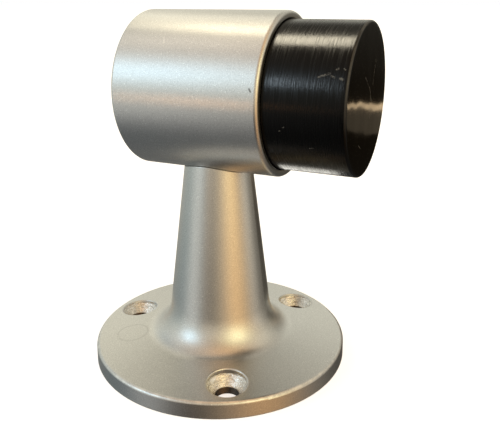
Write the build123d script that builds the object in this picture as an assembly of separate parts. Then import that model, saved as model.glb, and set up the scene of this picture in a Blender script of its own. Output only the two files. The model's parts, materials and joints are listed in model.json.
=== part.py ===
from build123d import *
import os
from math import cos, radians, tan

# Floor door stop: a cast pedestal with a round flange, a barrel seated across its top and a
# rubber buffer in the barrel's mouth. One long screw, driven up the hollow post from below,
# pulls the barrel down into its seat.
#
# Millimetres. The origin is the middle of the pedestal's underside, +Z points up the post
# and +X is the way the buffer faces.

# Flange
base_radius = 35.0
side_draft = 1.5
flange_edge_height = 4.6
flange_edge_rounding = 0.9
flange_top_slope = 6.2
foot_edge_break = 0.3

# Post, and the fillet at its foot, which is taller than it is wide
post_reference_height = 20.0
post_reference_radius = 13.1
post_taper = 7.1
foot_fillet_height = 7.9
foot_fillet_reach = 5.9
seat_edge_break = 0.25

# Three fixing holes; the first lies straight behind the barrel. Each countersink is sunk a
# little below the flange's top, so it has a short straight wall above its cone
fixing_hole_count = 3
fixing_circle_radius = 27.7
fixing_hole_radius = 2.95
countersink_angle = 82.0
countersink_start_height = 1.9
countersink_radius = 5.05
countersink_edge_rounding = 0.4

# Cored pocket up the inside of the post, open at the underside
core_mouth_radius = 9.0
core_end_radius = 6.8
core_end_height = 38.0
core_end_rounding = 0.7

# Barrel, with a blind socket in its front for the buffer
barrel_axis_height = 72.5
barrel_radius = 19.65
barrel_back = -18.5
barrel_mouth = 19.5
barrel_back_rounding = 0.8
barrel_mouth_rounding = 0.9
socket_radius = 17.9
socket_floor = 6.5
socket_floor_rounding = 1.0
socket_lip_rounding = 0.3
seat_clearance = 0.02

# Rubber buffer
buffer_radius = 17.75
buffer_face = 38.5
buffer_edge_rounding = 0.6
buffer_lead_in = 1.2
rib_radius = 17.88
rib_width = 1.6
rib_positions = (9.6, 12.6, 15.6)

# M6 hardware
thread_radius = 3.0
thread_clearance = 0.03
clearance_hole_radius = 3.3
head_radius = 5.0
head_height = 6.0
head_edge_rounding = 0.4
hex_key_width = 5.0
hex_key_depth = 3.0
screw_length = 30.0
screw_tip_chamfer = 0.6
tapped_hole_margin = 3.0
washer_inner_radius = 3.2
plain_washer_radius = 6.0
plain_washer_thickness = 1.6
plain_washer_chamfer = 0.2
lock_washer_radius = 5.9
lock_washer_thickness = 1.6
lock_washer_split = 0.8

# Heights of the screw stack, from the bearing face at the core's end downwards
plain_washer_bottom = core_end_height - plain_washer_thickness
lock_washer_bottom = plain_washer_bottom - lock_washer_thickness
head_bottom = lock_washer_bottom - head_height
screw_tip = lock_washer_bottom + screw_length


def post_radius_at(height):
    """Radius of the tapered post at a height above the floor."""
    return post_reference_radius - (height - post_reference_height) * tan(radians(post_taper))


def flange_height_at(radius):
    """Height of the sloping flange top at a distance from the post's axis."""
    return flange_edge_height + (flange_edge_radius - radius) * tan(radians(flange_top_slope))


# Sizes that follow from the flange's slope and draft
flange_edge_radius = base_radius - flange_edge_height * tan(radians(side_draft))
fixing_hole_top = flange_height_at(fixing_circle_radius)


def edges_at_height(solid, height):
    """Edges whose middle lies at one height."""
    tolerance = 0.01
    return solid.edges().filter_by_position(Axis.Z, height - tolerance, height + tolerance)


def is_off_axis(edge):
    """Whether an edge belongs to a fixing hole, not to a turned face round the post."""
    middle = edge.center(CenterOf.BOUNDING_BOX)
    return Vector(middle.X, middle.Y).length > fixing_circle_radius / 2


def barrel_cylinder(radius):
    """A long cylinder on the barrel's axis."""
    length = 4 * base_radius
    return Location((0, 0, barrel_axis_height), (0, 90, 0)) * Cylinder(radius, length)


def revolve_about_barrel(profile):
    """Turn a profile, drawn as (along the barrel, out from its axis), into a solid."""
    plane = Plane(origin=(0, 0, barrel_axis_height), x_dir=(1, 0, 0), z_dir=(0, -1, 0))
    axis = Axis((0, 0, barrel_axis_height), (1, 0, 0))
    return revolve(plane * profile, axis)


def outline(*points):
    """A closed flat face through the points."""
    return make_face(Polyline(*points, close=True))


def toward(start, end, distance):
    """The point at a distance from one point towards another."""
    run = Vector(*end) - Vector(*start)
    point = Vector(*start) + run.normalized() * distance
    return (point.X, point.Y)


def round_corner(profile, point, radius):
    """Round the corner of a flat profile that lies nearest to a point."""
    corner = min(profile.vertices(), key=lambda v: (Vector(v) - Vector(*point)).length)
    return fillet(corner, radius)


def pedestal_blank():
    """Flange, fillet and tapered post as one turned shape."""
    slope = tan(radians(flange_top_slope))
    taper = tan(radians(post_taper))
    foot_radius = (
        post_reference_radius
        + (post_reference_height - flange_edge_height - slope * flange_edge_radius) * taper
    ) / (1 - slope * taper)
    foot = (foot_radius, flange_height_at(foot_radius))
    rim = (flange_edge_radius, flange_edge_height)
    floor_edge = (base_radius, 0)
    post_top = (post_radius_at(barrel_axis_height), barrel_axis_height)
    fillet_start = toward(foot, rim, foot_fillet_reach)
    fillet_end = toward(foot, post_top, foot_fillet_height)
    # With this middle weight the curve is an arc of an ellipse, tangent to flange and post
    turned = 90 - flange_top_slope - post_taper
    fillet_arc = Bezier(fillet_start, foot, fillet_end, weights=[1, cos(radians(turned / 2)), 1])
    rest = Polyline(
        fillet_end, post_top, (0, barrel_axis_height), (0, 0), floor_edge, rim, fillet_start
    )
    profile = make_face(rest + fillet_arc)
    profile = round_corner(profile, rim, flange_edge_rounding)
    profile = round_corner(profile, floor_edge, foot_edge_break)
    return revolve(Plane.XZ * profile, Axis.Z)


def fixing_hole_cutter():
    """A through hole and its countersink, standing on the floor at the origin."""
    cone_depth = (countersink_radius - fixing_hole_radius) / tan(radians(countersink_angle / 2))
    cutter_top = fixing_hole_top + 2
    profile = outline(
        (0, -1),
        (fixing_hole_radius, -1),
        (fixing_hole_radius, countersink_start_height),
        (countersink_radius, countersink_start_height + cone_depth),
        (countersink_radius, cutter_top),
        (0, cutter_top),
    )
    return revolve(Plane.XZ * profile, Axis.Z)


def core_cutter():
    """The cored pocket, narrowing up to the screw's bearing face."""
    end = (core_end_radius, core_end_height)
    profile = outline((0, -1), (core_mouth_radius, -1), (core_mouth_radius, 0), end,
                      (0, core_end_height))
    profile = round_corner(profile, end, core_end_rounding)
    return revolve(Plane.XZ * profile, Axis.Z)


def make_pedestal():
    """Cast flange and post, with the barrel's seat, the core and the fixing holes."""
    blank = pedestal_blank() - barrel_cylinder(barrel_radius + seat_clearance)
    seat_edges = blank.edges().group_by(Axis.Z)[-1]
    blank = fillet(seat_edges, seat_edge_break)
    fixing_holes = PolarLocations(fixing_circle_radius, fixing_hole_count, start_angle=180)
    for place in fixing_holes:
        blank -= Location(place.position) * fixing_hole_cutter()
    above_countersinks = Axis.Z, flange_edge_height, post_reference_height
    mouth_edges = blank.edges().filter_by_position(*above_countersinks).filter_by(is_off_axis)
    blank = fillet(mouth_edges, countersink_edge_rounding)
    blank -= core_cutter()
    clearance_hole = Cylinder(clearance_hole_radius, barrel_axis_height)
    return blank - Pos(0, 0, barrel_axis_height / 2) * clearance_hole


def make_barrel():
    """Turned barrel with its blind socket and its tapped hole."""
    back_edge = (barrel_back, barrel_radius)
    mouth_edge = (barrel_mouth, barrel_radius)
    lip = (barrel_mouth, socket_radius)
    floor_corner = (socket_floor, socket_radius)
    profile = outline(
        (barrel_back, 0), back_edge, mouth_edge, lip, floor_corner, (socket_floor, 0)
    )
    profile = round_corner(profile, back_edge, barrel_back_rounding)
    profile = round_corner(profile, mouth_edge, barrel_mouth_rounding)
    profile = round_corner(profile, lip, socket_lip_rounding)
    profile = round_corner(profile, floor_corner, socket_floor_rounding)
    barrel = revolve_about_barrel(profile)
    hole_bottom = barrel_axis_height - barrel_radius - 1
    hole_top = screw_tip + tapped_hole_margin
    tapped_hole = Pos(0, 0, (hole_bottom + hole_top) / 2) * Cylinder(
        thread_radius + thread_clearance, hole_top - hole_bottom
    )
    return barrel - tapped_hole


def make_buffer():
    """Rubber plug: a plain nose and a ribbed shank that grips the socket."""
    face_edge = (buffer_face, buffer_radius)
    plug = outline(
        (socket_floor, 0),
        (socket_floor, buffer_radius - buffer_lead_in),
        (socket_floor + buffer_lead_in, buffer_radius),
        face_edge,
        (buffer_face, 0),
    )
    plug = round_corner(plug, face_edge, buffer_edge_rounding)
    buffer = revolve_about_barrel(plug)
    for middle in rib_positions:
        rib = outline(
            (middle - rib_width / 2, 0),
            (middle - rib_width / 2, buffer_radius - 1),
            (middle - rib_width / 4, rib_radius),
            (middle + rib_width / 4, rib_radius),
            (middle + rib_width / 2, buffer_radius - 1),
            (middle + rib_width / 2, 0),
        )
        buffer += revolve_about_barrel(rib)
    return buffer


def make_joining_screw():
    """Socket head screw, its head down in the core and its thread up in the barrel."""
    head = Pos(0, 0, head_bottom + head_height / 2) * Cylinder(head_radius, head_height)
    head = fillet(edges_at_height(head, head_bottom), head_edge_rounding)
    shank = Pos(0, 0, lock_washer_bottom + screw_length / 2) * Cylinder(thread_radius, screw_length)
    shank = chamfer(edges_at_height(shank, screw_tip), screw_tip_chamfer)
    key_socket = Pos(0, 0, head_bottom) * extrude(
        RegularPolygon(hex_key_width / 2, 6, major_radius=False), hex_key_depth
    )
    return head + shank - key_socket


def ring(inner_radius, outer_radius, bottom, thickness):
    """A flat ring on the screw's axis."""
    disc = Cylinder(outer_radius, thickness) - Cylinder(inner_radius, thickness)
    return Pos(0, 0, bottom + thickness / 2) * disc


def make_plain_washer():
    """Washer that spreads the load on the casting, chamfered on its lower outer edge."""
    washer = ring(washer_inner_radius, plain_washer_radius, plain_washer_bottom, plain_washer_thickness)
    lower_rim = edges_at_height(washer, plain_washer_bottom).sort_by(SortBy.LENGTH)[-1]
    return chamfer(lower_rim, plain_washer_chamfer)


def make_lock_washer():
    """Split spring washer, flattened between the head and the plain washer."""
    washer = ring(washer_inner_radius, lock_washer_radius, lock_washer_bottom, lock_washer_thickness)
    split = Pos(lock_washer_radius / 2, 0, lock_washer_bottom + lock_washer_thickness / 2) * Box(
        lock_washer_radius * 1.2, lock_washer_split, lock_washer_thickness * 2
    )
    return washer - split


makers = {
    "pedestal": make_pedestal,
    "barrel": make_barrel,
    "buffer": make_buffer,
    "joining_screw": make_joining_screw,
    "plain_washer": make_plain_washer,
    "lock_washer": make_lock_washer,
}

os.makedirs("parts", exist_ok=True)
for name, make in makers.items():
    export_step(make(), f"parts/{name}.step")
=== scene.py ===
"""Looks for a floor door stop: satin silver pedestal and barrel with a black rubber buffer.

Everything is in metres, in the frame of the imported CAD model: the origin is the middle of the
pedestal's underside, +Z is up the post and +X is the way the buffer faces.
"""

import json
from math import cos, pi, radians, sin

import bmesh
import bpy
from mathutils import Matrix, Vector


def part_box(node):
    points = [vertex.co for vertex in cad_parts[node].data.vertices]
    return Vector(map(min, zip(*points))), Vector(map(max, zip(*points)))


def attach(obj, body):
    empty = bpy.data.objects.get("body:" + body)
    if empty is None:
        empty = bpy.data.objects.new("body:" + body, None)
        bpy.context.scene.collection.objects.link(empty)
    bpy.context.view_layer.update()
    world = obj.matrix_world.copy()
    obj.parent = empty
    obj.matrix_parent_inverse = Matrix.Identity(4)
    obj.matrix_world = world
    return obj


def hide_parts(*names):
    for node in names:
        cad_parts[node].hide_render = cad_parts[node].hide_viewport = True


MM = 0.001
TURN = 2 * pi

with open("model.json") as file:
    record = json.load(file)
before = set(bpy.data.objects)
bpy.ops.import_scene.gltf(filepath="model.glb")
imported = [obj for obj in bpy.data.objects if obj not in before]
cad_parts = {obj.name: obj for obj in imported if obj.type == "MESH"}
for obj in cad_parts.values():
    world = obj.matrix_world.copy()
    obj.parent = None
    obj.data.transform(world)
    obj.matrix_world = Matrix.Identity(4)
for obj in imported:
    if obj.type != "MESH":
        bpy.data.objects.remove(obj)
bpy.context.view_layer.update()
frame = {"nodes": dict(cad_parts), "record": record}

# ---------------------------------------------------------------------------
# Places and sizes read from the frame
# ---------------------------------------------------------------------------
pedestal_low, pedestal_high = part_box("pedestal")
barrel_low, barrel_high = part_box("barrel")
buffer_low, buffer_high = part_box("buffer")
screw_low, screw_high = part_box("joining_screw")
lock_low, lock_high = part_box("lock_washer")

barrel_axis_z = (barrel_low.z + barrel_high.z) / 2
barrel_radius = (barrel_high.z - barrel_low.z) / 2
flange_radius = (pedestal_high.x - pedestal_low.x) / 2

fixing_mount = next(m for m in frame["record"]["mounts"] if m["kind"] == "bolt_pattern")
fixing_circle_radius = fixing_mount["dims"]["pcd_mm"] * MM / 2
fixing_hole_count = fixing_mount["dims"]["count"]
fixing_hole_radius = fixing_mount["dims"]["hole_r_mm"] * MM

# ---------------------------------------------------------------------------
# Sizes of the detail that only the looks have
# ---------------------------------------------------------------------------
# Countersinks: bare metal up to a ragged line on the short wall above the cone
countersink_reach = 5.3 * MM
bare_height = 4.70 * MM
ragged_height = 0.5 * MM

# Flange: a faint ring to the left of the post, and a rubbed upper edge
ring_middle = (-20.7 * MM, -14.0 * MM)
ring_radius = 4.2 * MM
rubbed_width = 1.0 * MM
rubbed_from_height = 3.9 * MM

# Lathe marks, one groove to each pitch, and the cored pocket that keeps its cast skin
underside_pitch = 0.22 * MM
socket_pitch = 0.18 * MM
core_radius = 9.02 * MM
core_height = 38.5 * MM
socket_wall = 1.70 * MM

# Buffer: a plain nose, and a shank whose ribs grip the socket
rib_height = 0.13 * MM
rib_width = 1.6 * MM
first_rib_from_back = 3.1 * MM
rib_spacing = 3.0 * MM
rib_count = 3
buffer_lead_in = 1.2 * MM
buffer_edge_rounding = 0.6 * MM
buffer_segments = 240

# M6 socket head screw and its spring washer
thread_radius = 3.0 * MM
thread_pitch = 1.0 * MM
thread_depth = 0.61 * MM
thread_runout = 0.7 * MM
hex_key_width = 5.0 * MM
hex_key_depth = 3.0 * MM
hex_mouth_chamfer = 0.3 * MM
head_edge_rounding = 0.4 * MM
knurl_depth = 0.12 * MM
screw_segments = 72
washer_inner_radius = 3.2 * MM
washer_split = 0.8 * MM
washer_corner = 0.3 * MM


def direction(azimuth, elevation):
    """Unit vector at an azimuth, anticlockwise from +X, and an elevation, in degrees."""
    a, e = radians(azimuth), radians(elevation)
    return Vector((cos(e) * cos(a), cos(e) * sin(a), sin(e)))


# ---------------------------------------------------------------------------
# Camera
# ---------------------------------------------------------------------------
def make_camera():
    """A close camera a little above the barrel, in front and to the buffer's side."""
    camera_azimuth = -65.6
    camera_elevation = 18.9
    camera_distance = 0.160
    target = Vector((9.4, -0.7, 41.6)) * MM
    roll = radians(0.15)

    data = bpy.data.cameras.new("camera")
    data.sensor_width = 36.0
    data.lens = 43.9
    data.clip_start = 0.01
    data.clip_end = 100.0
    camera = bpy.data.objects.new("camera", data)
    bpy.context.scene.collection.objects.link(camera)
    out = direction(camera_azimuth, camera_elevation)
    look = (-out).to_track_quat("-Z", "Y").to_matrix().to_4x4()
    place = Matrix.Translation(target + out * camera_distance)
    camera.matrix_world = place @ look @ Matrix.Rotation(roll, 4, "Z")
    bpy.context.scene.camera = camera


# ---------------------------------------------------------------------------
# Node helpers
# ---------------------------------------------------------------------------
class Graph:
    """Adds and links the nodes of one material or world. Inputs are sockets or plain values."""

    def __init__(self, tree):
        self.tree = tree
        tree.nodes.clear()

    def connect(self, socket, value):
        if isinstance(value, bpy.types.NodeSocket):
            self.tree.links.new(value, socket)
        else:
            socket.default_value = value

    def node(self, kind, inputs=None, **settings):
        made = self.tree.nodes.new(kind)
        for name, value in settings.items():
            setattr(made, name, value)
        for name, value in (inputs or {}).items():
            self.connect(made.inputs[name], value)
        return made

    def math(self, operation, *values, clamp=False):
        made = self.node("ShaderNodeMath", operation=operation, use_clamp=clamp)
        for socket, value in zip(made.inputs, values):
            self.connect(socket, value)
        return made.outputs[0]

    def vector_math(self, operation, *values):
        made = self.node("ShaderNodeVectorMath", operation=operation)
        for socket, value in zip(made.inputs, values):
            self.connect(socket, value)
        return made.outputs["Value" if operation in ("DOT_PRODUCT", "LENGTH") else "Vector"]

    def step(self, value, low, high, from_value=0.0, to_value=1.0):
        """from_value below low, to_value above high, and a smooth ramp between."""
        made = self.node("ShaderNodeMapRange", interpolation_type="SMOOTHSTEP")
        for name, amount in (
            ("Value", value), ("From Min", low), ("From Max", high),
            ("To Min", from_value), ("To Max", to_value),
        ):
            self.connect(made.inputs[name], amount)
        return made.outputs["Result"]

    def mix(self, factor, a, b):
        """A blend of two numbers."""
        made = self.node("ShaderNodeMix", data_type="FLOAT")
        self.connect(made.inputs[0], factor)
        self.connect(made.inputs[2], a)
        self.connect(made.inputs[3], b)
        return made.outputs[0]

    def mix_colour(self, factor, a, b, blend="MIX"):
        made = self.node("ShaderNodeMix", data_type="RGBA", blend_type=blend)
        self.connect(made.inputs[0], factor)
        self.connect(made.inputs[6], a)
        self.connect(made.inputs[7], b)
        return made.outputs[2]

    def noise(self, vector, scale, detail=2.0, roughness=0.5, distortion=0.0):
        made = self.node(
            "ShaderNodeTexNoise",
            {
                "Vector": vector, "Scale": scale, "Detail": detail,
                "Roughness": roughness, "Distortion": distortion,
            },
        )
        return made.outputs["Fac"]

    def bump(self, height, distance, strength=1.0, normal=None):
        inputs = {"Height": height, "Distance": distance, "Strength": strength}
        if normal is not None:
            inputs["Normal"] = normal
        return self.node("ShaderNodeBump", inputs).outputs["Normal"]

    def length_2d(self, a, b):
        return self.vector_math("LENGTH", self.vector(a, b, 0.0))

    def shade(self, tone, amount):
        """A colour made darker by a factor."""
        return self.mix_colour(1.0, tone, colour(amount, amount, amount), "MULTIPLY")

    def scratch(self, u, v, start, end, width):
        """1 on a line between two points of a surface and 0 off it; the points in millimetres."""
        origin = Vector((*start, 0.0)) * MM
        run = Vector((*end, 0.0)) * MM - origin
        from_start = self.vector_math("SUBTRACT", self.vector(u, v, 0.0), tuple(origin))
        share = self.vector_math("DOT_PRODUCT", from_start, tuple(run / run.length_squared))
        share = self.math("ADD", share, 0.0, clamp=True)
        along = self.node("ShaderNodeVectorMath", {"Scale": share}, operation="SCALE")
        along.inputs[0].default_value = tuple(run)
        off_line = self.vector_math("SUBTRACT", from_start, along.outputs[0])
        distance = self.vector_math("LENGTH", off_line)
        return self.step(distance, width / 4 * MM, width * MM, 1.0, 0.0)

    def any_of(self, masks):
        """The largest of several masks."""
        masks = list(masks)
        largest = masks[0]
        for mask in masks[1:]:
            largest = self.math("MAXIMUM", largest, mask)
        return largest

    def position(self):
        """The point being shaded, in the frame of the part: every piece's object is at the origin."""
        coordinates = self.node("ShaderNodeTexCoord").outputs["Object"]
        split = self.node("ShaderNodeSeparateXYZ", {"Vector": coordinates})
        return coordinates, split.outputs["X"], split.outputs["Y"], split.outputs["Z"]

    def vector(self, x, y, z):
        return self.node("ShaderNodeCombineXYZ", {"X": x, "Y": y, "Z": z}).outputs["Vector"]


def colour(red, green, blue):
    return (red, green, blue, 1.0)


def new_material(name):
    material = bpy.data.materials.new(name)
    material.use_nodes = True
    return material, Graph(material.node_tree)


def finish_material(graph, shader):
    graph.node("ShaderNodeOutputMaterial", {"Surface": shader.outputs["BSDF"]})


# ---------------------------------------------------------------------------
# Light
# ---------------------------------------------------------------------------
def make_world():
    """A dim room: a cool window to the left and a warm light to the right."""
    world = bpy.data.worlds.new("studio")
    world.use_nodes = True
    bpy.context.scene.world = world
    graph = Graph(world.node_tree)
    ray = graph.node("ShaderNodeTexCoord").outputs["Generated"]
    ray = graph.vector_math("NORMALIZE", ray)
    height = graph.node("ShaderNodeSeparateXYZ", {"Vector": ray}).outputs["Z"]

    below = colour(0.16, 0.16, 0.155)
    level = colour(0.72, 0.70, 0.60)
    above = colour(0.44, 0.42, 0.36)
    room = graph.mix_colour(graph.step(height, -0.66, 0.08), below, level)
    room = graph.mix_colour(graph.step(height, 0.25, 0.75), room, above)

    # Azimuth, elevation, what the room is multiplied by there, and how tight the patch is
    patches = (
        (-20, -5, (1.10, 0.80, 0.52), 3.0),
        (-60, 60, (1.15, 0.85, 0.65), 5.0),
        (-165, -25, (0.62, 0.76, 0.88), 6.0),
        (-92, -28, (0.12, 0.10, 0.09), 8.0),
        (76, -10, (0.03, 0.02, 0.01), 6.0),
        (35, -25, (0.45, 0.45, 0.45), 6.0),
        (104, 42, (0.24, 0.23, 0.23), 45.0),
        (127, 45, (0.05, 0.05, 0.05), 50.0),
        (-140, 64, (0.60, 0.55, 0.52), 25.0),
        (-113, -2, (0.84, 0.92, 1.00), 90.0),
        (172, 36, (0.80, 0.95, 1.12), 20.0),
    )
    for azimuth, elevation, tint, tightness in patches:
        near = falloff(graph, ray, azimuth, elevation, tightness)
        room = graph.mix_colour(near, room, graph.mix_colour(1.0, room, colour(*tint), "MULTIPLY"))

    # Azimuth, elevation, the light that is added there, and how tight the glow is
    glows = (
        (-129, 24, (0.90, 1.44, 1.86), 38.0),
        (-145, 48, (0.40, 0.38, 0.35), 7.0),
        (-128, -20, (0.40, 0.39, 0.38), 18.0),
        (97, 26, (0.52, 0.51, 0.43), 20.0),
        (140, 30, (0.52, 0.48, 0.36), 26.0),
        (-30, 23, (1.50, 1.45, 0.80), 17.0),
        (-30, -10, (0.20, 0.06, 0.00), 16.0),
        (-25, -28, (0.40, 0.20, 0.06), 9.0),
        (142, 58, (0.42, 0.38, 0.29), 40.0),
        (102, 67, (0.34, 0.30, 0.23), 30.0),
        (-95, -3, (0.22, 0.13, 0.07), 90.0),
        (-30, 70, (0.52, 0.24, 0.05), 12.0),
        (30, 40, (0.35, 0.33, 0.26), 12.0),
        (22, -10, (0.34, 0.33, 0.30), 22.0),
    )
    for azimuth, elevation, tint, tightness in glows:
        near = falloff(graph, ray, azimuth, elevation, tightness)
        glow = graph.node("ShaderNodeVectorMath", operation="SCALE")
        graph.connect(glow.inputs[0], tint)
        graph.connect(glow.inputs["Scale"], near)
        room = graph.vector_math("ADD", room, glow.outputs[0])

    backdrop = colour(1.0, 1.0, 1.0)
    seen = graph.node("ShaderNodeLightPath").outputs["Is Camera Ray"]
    shown = graph.mix_colour(seen, room, backdrop)
    background = graph.node("ShaderNodeBackground", {"Color": shown, "Strength": 1.0})
    graph.node("ShaderNodeOutputWorld", {"Surface": background.outputs["Background"]})


def falloff(graph, ray, azimuth, elevation, tightness):
    """1 in one direction of the room, falling off smoothly round it."""
    towards = graph.vector_math("DOT_PRODUCT", ray, tuple(direction(azimuth, elevation)))
    behind = graph.math("MULTIPLY", graph.math("SUBTRACT", towards, 1.0), tightness)
    return graph.math("EXPONENT", behind)


def softbox(name, azimuth, elevation, distance, width, height, tint, radiance):
    """A rectangular soft light that faces the barrel; its width runs along the barrel."""
    data = bpy.data.lights.new(name, "AREA")
    data.shape = "RECTANGLE"
    data.size = width
    data.size_y = height
    data.color = tint
    data.energy = radiance * pi * width * height
    lamp = bpy.data.objects.new(name, data)
    bpy.context.scene.collection.objects.link(lamp)
    out = direction(azimuth, elevation)
    along = (Vector((1, 0, 0)) - out * out.x).normalized()
    turned = Matrix((along, out.cross(along), out)).transposed().to_4x4()
    middle = Vector((10 * MM, 0, barrel_axis_z))
    lamp.matrix_world = Matrix.Translation(middle + out * distance) @ turned
    lamp.visible_camera = False
    return lamp


def light_only(pieces, name, lamps):
    """Let only some pieces catch some lamps."""
    receivers = bpy.data.collections.new(f"receivers_of_{name}")
    for piece in pieces:
        receivers.objects.link(piece)
    for lamp in lamps:
        lamp.light_linking.receiver_collection = receivers


def reflections_only(lamps):
    """Let lamps be mirrored without lighting anything."""
    for lamp in lamps:
        lamp.visible_diffuse = False


def make_lights(barrel, buffer, floor):
    """A ceiling panel, a table top behind the stop, and reflections for the barrel and rubber.

    The panel spares the pedestal, whose flange and fillet look darker in its direction.
    """
    ceiling_panel = softbox("ceiling_panel", 160, 64, 1.2, 0.16, 0.19, (1.0, 0.87, 0.60), 5.0)
    light_only((barrel, buffer, floor), "ceiling_panel", (ceiling_panel,))
    table_edge = softbox("table_edge", 76.5, -9.15, 0.30, 0.30, 0.0036, (1.0, 0.73, 0.43), 2.1)
    table_side = softbox("table_side", 76.5, -11.1, 0.30, 0.30, 0.0165, (1.0, 0.80, 0.54), 0.17)

    lamp_glint = softbox("lamp_glint", 162, 71, 1.2, 0.36, 0.30, (1.0, 0.90, 0.69), 34.0)
    window_glint = softbox("window_glint", -120, 25, 1.2, 0.18, 0.18, (0.74, 0.88, 1.0), 34.0)
    flange_glint = softbox("flange_glint", 122, -62, 0.045, 0.05, 0.016, (1.0, 0.97, 0.88), 3.2)
    light_only((buffer,), "glints", (lamp_glint, window_glint, flange_glint))

    far_ceiling = softbox("far_ceiling", 128, 44, 1.2, 0.40, 0.26, (1.0, 0.95, 0.80), 0.95)
    near_ceiling = softbox("near_ceiling", -157, 58, 1.2, 0.36, 0.26, (1.0, 0.91, 0.76), 0.72)
    high_ceiling = softbox("high_ceiling", 142, 58, 1.2, 0.48, 0.48, (1.0, 0.90, 0.67), 0.50)
    warm_band = softbox("warm_band", -118, -7, 1.2, 0.30, 0.14, (1.0, 0.46, 0.16), 2.2)
    light_only((barrel,), "ceiling", (far_ceiling, near_ceiling, high_ceiling))
    light_only((barrel, buffer), "warm_band", (warm_band,))
    reflections_only((
        table_edge, table_side, lamp_glint, window_glint, flange_glint,
        far_ceiling, near_ceiling, high_ceiling, warm_band,
    ))


def make_floor():
    """A wide pale floor that fades into the backdrop."""
    radius = 30.0
    mesh = bpy.data.meshes.new("floor")
    shape = bmesh.new()
    bmesh.ops.create_circle(shape, cap_ends=True, segments=128, radius=radius)
    shape.to_mesh(mesh)
    shape.free()
    floor = bpy.data.objects.new("floor", mesh)
    bpy.context.scene.collection.objects.link(floor)
    floor.location.z = -0.02 * MM
    floor.visible_glossy = False

    material, graph = new_material("pale_floor")
    shader = graph.node(
        "ShaderNodeBsdfPrincipled",
        {
            "Base Color": colour(0.9, 0.9, 0.9), "Roughness": 0.9, "Specular IOR Level": 0.0,
            "Emission Color": colour(1.0, 1.0, 1.0), "Emission Strength": 0.62,
        },
    )
    finish_material(graph, shader)
    mesh.materials.append(material)
    return floor


# ---------------------------------------------------------------------------
# Materials
# ---------------------------------------------------------------------------
def satin_silver(name, marks):
    """Fine-grained satin silver coating; marks(graph) adds what one piece has of its own."""
    material, graph = new_material(name)
    point, x, y, z = graph.position()
    grain = graph.noise(point, 3900.0, 2.0, 0.65)
    cloud = graph.noise(point, 85.0, 3.0)
    sparkle = graph.step(graph.noise(point, 4300.0, 1.0), 0.62, 0.70)

    tone = graph.mix_colour(cloud, colour(0.67, 0.67, 0.655), colour(0.715, 0.715, 0.70))
    tone = graph.mix_colour(graph.step(grain, 0.32, 0.60), graph.shade(tone, 0.84), tone)
    tone = graph.mix_colour(sparkle, tone, colour(0.88, 0.88, 0.86))
    rough = graph.mix(cloud, 0.30, 0.34)
    normal = graph.bump(grain, 0.022 * MM, 0.65)
    tone, rough, normal = marks(graph, x, y, z, tone, rough, normal)
    shader = graph.node(
        "ShaderNodeBsdfPrincipled",
        {"Base Color": tone, "Metallic": 1.0, "Roughness": rough, "Normal": normal},
    )
    finish_material(graph, shader)
    return material


def pedestal_marks(graph, x, y, z, tone, rough, normal):
    """Bare countersinks whose bores get painted shade, a faint darker ring, a rubbed rim and a faced
    underside.
    """
    # A faint darker ring painted on the flange
    from_middle = graph.length_2d(graph.math("SUBTRACT", x, ring_middle[0]),
                                  graph.math("SUBTRACT", y, ring_middle[1]))
    off_ring = graph.math("ABSOLUTE", graph.math("SUBTRACT", from_middle, ring_radius))
    ring = graph.step(off_ring, 0.05 * MM, 0.45 * MM, 0.42, 0.0)
    tone = graph.mix_colour(ring, tone, graph.shade(tone, 0.72))

    # The coat is thin along the flange's upper edge
    out = graph.length_2d(x, y)
    patchy = graph.noise(graph.vector(x, y, z), 420.0, 4.0, 0.65)
    rim = graph.math(
        "MULTIPLY", graph.step(out, flange_radius - rubbed_width, flange_radius - rubbed_width / 2),
        graph.step(z, rubbed_from_height, rubbed_from_height + 0.5 * MM),
    )
    rubbed = graph.math("MULTIPLY", rim, graph.step(patchy, 0.46, 0.60))
    tone = graph.mix_colour(rubbed, tone, colour(0.82, 0.81, 0.78))

    # The countersinks are cut through the coat, and painted shade darkens their bores
    inside, shaded_bore, chatter = countersink_marks(graph, x, y, z)
    valley, crest = colour(0.48, 0.44, 0.38), colour(0.97, 0.96, 0.93)
    bright = graph.mix_colour(graph.step(chatter, 0.25, 0.62), valley, crest)
    tone = graph.mix_colour(inside, tone, bright)
    # Painted shade: the bores' walls are darkened in colour
    tone = graph.mix_colour(shaded_bore, tone, colour(0.20, 0.165, 0.13))
    rough = graph.mix(inside, rough, 0.20)
    normal = graph.bump(graph.math("MULTIPLY", chatter, inside), 0.20 * MM, 1.0, normal)

    # The underside is faced in a lathe; the cored pocket keeps its rough cast skin
    faced = graph.step(z, 0.02 * MM, 0.10 * MM, 1.0, 0.0)
    turning = graph.math("SINE", graph.math("MULTIPLY", out, TURN / underside_pitch))
    tone = graph.mix_colour(faced, tone, colour(0.80, 0.79, 0.775))
    rough = graph.mix(faced, rough, 0.30)
    normal = graph.bump(graph.math("MULTIPLY", turning, faced), 0.006 * MM, 1.0, normal)
    cast = graph.math("MULTIPLY", graph.step(out, core_radius, core_radius + 0.04 * MM, 1.0, 0.0),
                      graph.step(z, core_height, core_height + 0.5 * MM, 1.0, 0.0))
    skin = graph.noise(graph.vector(x, y, z), 900.0, 4.0, 0.6)
    tone = graph.mix_colour(cast, tone, graph.mix_colour(skin, colour(0.30, 0.295, 0.285),
                                                         colour(0.46, 0.455, 0.44)))
    rough = graph.mix(cast, rough, 0.55)
    normal = graph.bump(graph.math("MULTIPLY", skin, cast), 0.15 * MM, 0.8, normal)
    return tone, rough, normal


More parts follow.
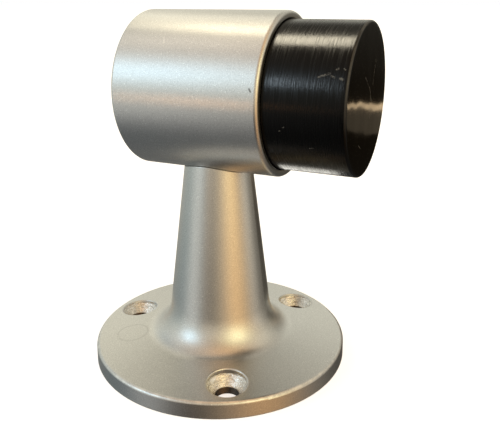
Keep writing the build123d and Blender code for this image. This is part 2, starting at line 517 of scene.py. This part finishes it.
def countersink_marks(graph, x, y, z):
    """(on a bare cone, in a bore that gets painted shade, brightness and height of the cutter's chatter
    marks).
    """
    sector = TURN / fixing_hole_count
    angle = graph.math("ARCTAN2", y, x)
    # One hole lies at half a turn, so the sectors are counted from there
    offset = graph.math("ADD", angle, pi + sector / 2)
    folded = graph.math("SUBTRACT", graph.math("MODULO", offset, sector), sector / 2)
    reach = graph.length_2d(x, y)
    along = graph.math("SUBTRACT", graph.math("MULTIPLY", reach, graph.math("COSINE", folded)),
                       fixing_circle_radius)
    across = graph.math("MULTIPLY", reach, graph.math("SINE", folded))
    away = graph.length_2d(along, across)
    ragged = graph.noise(graph.vector(x, y, z), 1500.0, 2.0)
    limit = graph.math("ADD", z, graph.math("MULTIPLY", ragged, ragged_height))
    inside = graph.math(
        "MULTIPLY", graph.step(away, countersink_reach, countersink_reach + 0.1 * MM, 1.0, 0.0),
        graph.step(limit, bare_height, bare_height + 0.15 * MM, 1.0, 0.0),
    )
    inside = graph.math("MULTIPLY", inside, graph.step(z, 0.2 * MM, 0.4 * MM))
    # Mask of the bore, whose walls get painted shade
    shaded_bore = graph.step(away, fixing_hole_radius + 0.03 * MM, fixing_hole_radius + 0.12 * MM, 1.0, 0.0)
    turn = graph.math("ARCTAN2", across, along)
    cutter_path = graph.vector(
        graph.math("MULTIPLY", turn, 2.6), graph.math("MULTIPLY", away, 1500.0),
        graph.math("MULTIPLY", z, 900.0),
    )
    return inside, shaded_bore, graph.noise(cutter_path, 1.0, 4.0, 0.68, 1.4)


def barrel_marks(graph, x, y, z, tone, rough, normal):
    """A scratch on the shoulder, a small dark spot by the mouth and a rough-turned socket."""
    height = graph.math("SUBTRACT", z, barrel_axis_z)
    around = graph.math("MULTIPLY", graph.math("ARCTAN2", height, y), barrel_radius)
    scratched = graph.scratch(x, around, (-6.3, 46.7), (-5.7, 48.3), 0.10)
    tone = graph.mix_colour(graph.math("MULTIPLY", scratched, 0.7), tone, colour(0.95, 0.95, 0.93))
    rough = graph.mix(scratched, rough, 0.22)
    # A small dark spot painted by the mouth
    dark_spot = graph.scratch(x, around, (17.5, 57.95), (17.85, 58.5), 0.30)
    tone = graph.mix_colour(graph.math("MULTIPLY", dark_spot, 0.85), tone, colour(0.16, 0.15, 0.14))

    out = graph.length_2d(height, y)
    wall = barrel_radius - socket_wall
    socket = graph.math("MULTIPLY", graph.step(out, wall, wall + 0.10 * MM, 1.0, 0.0),
                        graph.step(x, buffer_low.x - 0.10 * MM, buffer_low.x - 0.05 * MM))
    turning = graph.math("SINE", graph.math("MULTIPLY", x, TURN / socket_pitch))
    tone = graph.mix_colour(socket, tone, colour(0.60, 0.595, 0.58))
    normal = graph.bump(graph.math("MULTIPLY", turning, socket), 0.008 * MM, 1.0, normal)
    return tone, rough, normal


def rubber():
    """Black rubber, ground round its side and smoother on its face, with scuffs, scratches and a
    painted highlight along the face's edge.
    """
    material, graph = new_material("buffer_rubber")
    point, x, y, z = graph.position()
    height = graph.math("SUBTRACT", z, barrel_axis_z)
    angle = graph.math("ARCTAN2", height, y)
    nose_radius = (buffer_high.z - buffer_low.z) / 2
    around = graph.math("MULTIPLY", angle, nose_radius)
    on_face = graph.step(x, buffer_high.x - 0.25 * MM, buffer_high.x - 0.05 * MM)

    # Grinding lines run round the side; they come and go along each line
    path = graph.vector(graph.math("MULTIPLY", x, 2600.0), graph.math("MULTIPLY", angle, 2.2), 0.0)
    fine_path = graph.vector(graph.math("MULTIPLY", x, 9000.0), graph.math("MULTIPLY", angle, 7.0), 0.0)
    lines = graph.noise(path, 1.0, 3.0, 0.7, 0.3)
    fine_lines = graph.noise(fine_path, 1.0, 2.0, 0.6)
    cloud = graph.noise(point, 170.0, 4.0, 0.6)
    pores = graph.noise(point, 2600.0, 2.0)
    waviness = graph.noise(point, 120.0, 1.0)

    tone = graph.mix_colour(cloud, colour(0.0003, 0.0003, 0.0003), colour(0.0009, 0.0008, 0.0007))
    rough = graph.mix(on_face, graph.step(lines, 0.35, 0.65, 0.15, 0.30), graph.mix(cloud, 0.06, 0.12))
    normal = graph.bump(lines, 0.045 * MM, graph.mix(on_face, 0.55, 0.0))
    normal = graph.bump(fine_lines, 0.008 * MM, graph.mix(on_face, 0.45, 0.0), normal)
    normal = graph.bump(pores, 0.011 * MM, graph.mix(on_face, 0.55, 0.10), normal)
    normal = graph.bump(waviness, 0.16 * MM, graph.mix(on_face, 0.0, 0.7), normal)

    # The face's edge gets a painted highlight, grey in patches and only towards the top
    from_axis = graph.length_2d(y, height)
    near_side = graph.step(from_axis, nose_radius - 0.65 * MM, nose_radius - 0.4 * MM)
    near_face = graph.step(x, buffer_high.x - 0.55 * MM, buffer_high.x - 0.35 * MM)
    edge = graph.math("MULTIPLY", near_side, near_face)
    # Painted highlight: kept to the upper part of the edge
    edge = graph.math("MULTIPLY", edge, graph.step(height, -6 * MM, 6 * MM))
    edge = graph.math("MULTIPLY", edge, graph.step(cloud, 0.20, 0.70, 0.35, 1.0))
    tone = graph.mix_colour(edge, tone, colour(0.060, 0.057, 0.052))
    rough = graph.mix(edge, rough, 0.30)

    # Pale scuffs near the nose, each (start, end, width) along and round the side in mm
    scuffs = (
        ((36.6, 49.3), (37.0, 49.5), 0.40),
        ((35.5, 47.5), (35.9, 47.2), 0.30),
        ((37.1, 47.2), (37.3, 47.4), 0.28),
        ((31.9, 49.2), (34.2, 48.4), 0.34),
        ((34.6, 48.9), (35.4, 49.2), 0.26),
        ((24.5, -51.7), (24.8, -51.9), 0.14),
        ((23.6, -50.9), (23.8, -51.0), 0.16),
        ((30.2, -47.0), (31.0, -47.2), 0.10),
        ((27.0, 12.0), (28.4, 12.5), 0.14),
        ((33.0, -8.0), (33.4, -9.2), 0.14),
    )
    # Hairlines on the face, each across and up from its middle in mm
    hairlines = (
        ((-3.2, 5.6), (1.6, 2.4), 0.07),
        ((1.2, 2.9), (3.4, -0.4), 0.09),
        ((5.8, 9.2), (4.6, 5.9), 0.08),
        ((4.8, 6.4), (4.1, 3.1), 0.06),
        ((2.2, -1.8), (2.6, -4.4), 0.06),
        ((-6.5, -9.0), (-4.0, -10.2), 0.06),
    )
    broken = graph.step(graph.noise(point, 3000.0, 2.0, 0.6), 0.40, 0.56)
    side_marks = graph.any_of(graph.scratch(x, around, *mark) for mark in scuffs)
    face_marks = graph.any_of(graph.scratch(y, height, *mark) for mark in hairlines)
    marks = graph.mix(on_face, side_marks, face_marks)
    strength = graph.mix(on_face, graph.math("MULTIPLY", broken, 0.6), broken)
    marks = graph.math("MULTIPLY", marks, strength)
    side_grey, face_grey = colour(0.15, 0.145, 0.13), colour(0.13, 0.12, 0.105)
    tone = graph.mix_colour(marks, tone, graph.mix_colour(on_face, side_grey, face_grey))
    rough = graph.mix(marks, rough, 0.55)
    shader = graph.node(
        "ShaderNodeBsdfPrincipled",
        {"Base Color": tone, "Roughness": rough, "Normal": normal, "Specular IOR Level": 0.17},
    )
    finish_material(graph, shader)
    return material


def zinc_plate():
    """Bright zinc plating, faintly clouded."""
    material, graph = new_material("zinc_plate")
    point = graph.position()[0]
    cloud = graph.noise(point, 700.0, 4.0, 0.6)
    fine = graph.noise(point, 6000.0, 2.0)
    tone = graph.mix_colour(cloud, colour(0.58, 0.60, 0.62), colour(0.74, 0.75, 0.76))
    shader = graph.node(
        "ShaderNodeBsdfPrincipled",
        {
            "Base Color": tone, "Metallic": 1.0,
            "Roughness": graph.mix(cloud, 0.22, 0.36),
            "Normal": graph.bump(fine, 0.006 * MM, 0.5),
        },
    )
    finish_material(graph, shader)
    return material


def paint(piece, material):
    piece.data.materials.clear()
    piece.data.materials.append(material)


# ---------------------------------------------------------------------------
# Meshes
# ---------------------------------------------------------------------------
def add_rows(shape, rows):
    """Faces between rows of points; every row has as many points as the first."""
    lines = [[shape.verts.new(point) for point in row] for row in rows]
    for lower, upper in zip(lines, lines[1:]):
        for a, b, c, d in zip(lower, lower[1:], upper[1:], upper):
            shape.faces.new((a, b, c, d))
    return lines


def finish_piece(name, shape, stands_for, material):
    """Weld the rows into one closed mesh that stands for a CAD node."""
    bmesh.ops.remove_doubles(shape, verts=shape.verts, dist=0.0005 * MM)
    bmesh.ops.recalc_face_normals(shape, faces=shape.faces)
    for face in shape.faces:
        face.smooth = True
    for edge in shape.edges:
        edge.smooth = edge.calc_face_angle(0.0) < radians(32)
    mesh = bpy.data.meshes.new(name)
    shape.to_mesh(mesh)
    shape.free()
    piece = bpy.data.objects.new(name, mesh)
    bpy.context.scene.collection.objects.link(piece)
    paint(piece, material)
    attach(piece, "root")
    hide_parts(stands_for)
    return piece


def whole_turn(segments):
    """Angles right round, the first repeated at the end."""
    return [TURN * i / segments for i in range(segments + 1)]


def quarter_round(radius, steps):
    """(sine, cosine) times the radius, over a quarter of a turn."""
    corners = [pi / 2 * i / steps for i in range(steps + 1)]
    return [(radius * sin(corner), radius * cos(corner)) for corner in corners]


def buffer_profile():
    """(along, out) points of the buffer, from the middle of its back to that of its face."""
    back, face = buffer_low.x, buffer_high.x
    rib_radius = (buffer_high.z - buffer_low.z) / 2
    nose_radius = rib_radius - rib_height
    points = [(back, 0.0), (back, nose_radius - buffer_lead_in), (back + buffer_lead_in, nose_radius)]
    for rib in range(rib_count):
        middle = back + first_rib_from_back + rib * rib_spacing
        points += [
            (middle - rib_width / 2, nose_radius),
            (middle - rib_width / 4, rib_radius),
            (middle + rib_width / 4, rib_radius),
            (middle + rib_width / 2, nose_radius),
        ]
    shank_end = points[-1][0] + buffer_edge_rounding
    nose_end = face - buffer_edge_rounding
    side_steps = 20
    for step in range(side_steps):
        points.append((shank_end + (nose_end - shank_end) * step / side_steps, nose_radius))
    for ahead, out in quarter_round(buffer_edge_rounding, 7):
        points.append((nose_end + ahead, nose_radius - buffer_edge_rounding + out))
    flat_radius = nose_radius - buffer_edge_rounding
    for share in (0.97, 0.9, 0.75, 0.5, 0.25, 0.0):
        points.append((face, flat_radius * share))
    return points


def make_buffer(material):
    """Rubber plug. Its moulded edge and its ground side are a little uneven."""
    unevenness = 0.035 * MM
    nose_start = barrel_high.x + 0.3 * MM
    profile = buffer_profile()
    shape = bmesh.new()
    rows = []
    for along, out in profile:
        free = min(1.0, max(0.0, (along - nose_start) / MM))
        row = []
        for angle in whole_turn(buffer_segments):
            ripple = sin(5 * angle + 0.7) + 0.6 * sin(11 * angle + 2.1) + 0.4 * sin(23 * angle)
            drawn_in = unevenness * free * (1.0 + ripple / 2) * (out > 0)
            reach = out - min(out, drawn_in)
            row.append((along, reach * cos(angle), barrel_axis_z + reach * sin(angle)))
        rows.append(row)
    add_rows(shape, rows)
    return finish_piece("rubber_buffer", shape, "buffer", material)


def make_joining_screw(material):
    """M6 socket head screw: hexagon socket, knurled head and a helical thread to its tip."""
    angles = whole_turn(screw_segments)
    head_radius = (screw_high.x - screw_low.x) / 2
    head_bottom = screw_low.z
    head_top = lock_low.z
    tip = screw_high.z
    socket_end = head_bottom + hex_key_depth
    drill_point = 1.0 * MM
    root_radius = thread_radius - thread_depth

    def row(radii, height):
        return [(r * cos(a), r * sin(a), height) for r, a in zip(radii, angles)]

    def ring(radius, height):
        return row([radius] * len(angles), height)

    def hexagon(height):
        turned = [(angle + pi / 6) % (pi / 3) - pi / 6 for angle in angles]
        return row([hex_key_width / 2 / cos(angle) for angle in turned], height)

    def knurled(height):
        return row([head_radius - knurl_depth * (i % 2) for i in range(len(angles))], height)

    hex_corner = hex_key_width / 2 / cos(pi / 6)
    edge_start = head_radius - knurl_depth - head_edge_rounding
    head = [
        ring(0.0, socket_end + drill_point),
        hexagon(socket_end),
        hexagon(head_bottom + hex_mouth_chamfer),
        ring(hex_corner + hex_mouth_chamfer / 2, head_bottom),
    ]
    for across, down in quarter_round(head_edge_rounding, 5):
        head.append(ring(edge_start + across, head_bottom + head_edge_rounding - down))
    head += [
        knurled(head_bottom + head_edge_rounding + knurl_depth),
        knurled(head_top - 2 * knurl_depth),
        ring(head_radius - 2 * knurl_depth, head_top),
        ring(root_radius, head_top),
    ]
    shape = bmesh.new()
    add_rows(shape, head)
    add_rows(shape, thread_rows(angles, head_top, tip, root_radius))
    add_rows(shape, [ring(root_radius, tip), ring(0.0, tip)])
    return finish_piece("socket_head_screw", shape, "joining_screw", material)


def thread_rows(angles, start, end, root_radius):
    """Rows that climb one pitch a turn, held between start and end, where the thread fades."""
    # Share of the pitch and of the thread's depth: crest, flank, rounded root, flank, crest
    form = ((0.0625, 1.0), (0.375, 0.0), (0.5, -0.06), (0.625, 0.0), (0.9375, 1.0))
    turns = round((end - start) / thread_pitch) + 3
    rows = []
    for turn in range(turns):
        for share, crest in form:
            points = []
            for angle in angles:
                height = start + (turn - 2 + share + angle / TURN) * thread_pitch
                height = min(end, max(start, height))
                fade = min(1.0, (height - start) / thread_runout, (end - height) / thread_runout)
                radius = root_radius + thread_depth * crest * fade
                points.append((radius * cos(angle), radius * sin(angle), height))
            rows.append(points)
    return rows


def make_lock_washer(material):
    """Spring washer: a bar with rounded corners, bent round almost a full turn."""
    outer_radius = (lock_high.y - lock_low.y) / 2
    middle_radius = (outer_radius + washer_inner_radius) / 2
    half_width = (outer_radius - washer_inner_radius) / 2
    half_height = (lock_high.z - lock_low.z) / 2
    middle_z = (lock_low.z + lock_high.z) / 2
    half_split = washer_split / 2 / middle_radius

    corner = quarter_round(washer_corner, 4)
    upper_right = [(half_width - washer_corner + a, half_height - washer_corner + b) for a, b in corner]
    lower_right = [(a, -b) for a, b in reversed(upper_right)]
    right = upper_right + lower_right
    section = right + [(-a, -b) for a, b in right]

    steps = 96
    rows = []
    for step in range(steps + 1):
        angle = half_split + (TURN - 2 * half_split) * step / steps
        row = []
        for out, up in section + section[:1]:
            radius = middle_radius + out
            row.append((radius * cos(angle), radius * sin(angle), middle_z + up))
        rows.append(row)
    shape = bmesh.new()
    lines = add_rows(shape, rows)
    for end in (lines[0], lines[-1]):
        shape.faces.new(end[:-1])
    return finish_piece("spring_lock_washer", shape, "lock_washer", material)


# ---------------------------------------------------------------------------
# The scene
# ---------------------------------------------------------------------------
make_camera()
make_world()
floor_piece = make_floor()

zinc = zinc_plate()
paint(frame["nodes"]["pedestal"], satin_silver("satin_silver_pedestal", pedestal_marks))
paint(frame["nodes"]["barrel"], satin_silver("satin_silver_barrel", barrel_marks))
paint(frame["nodes"]["plain_washer"], zinc)
buffer_piece = make_buffer(rubber())
make_joining_screw(zinc)
make_lock_washer(zinc)
make_lights(frame["nodes"]["barrel"], buffer_piece, floor_piece)

bpy.context.scene.view_settings.view_transform = "Standard"
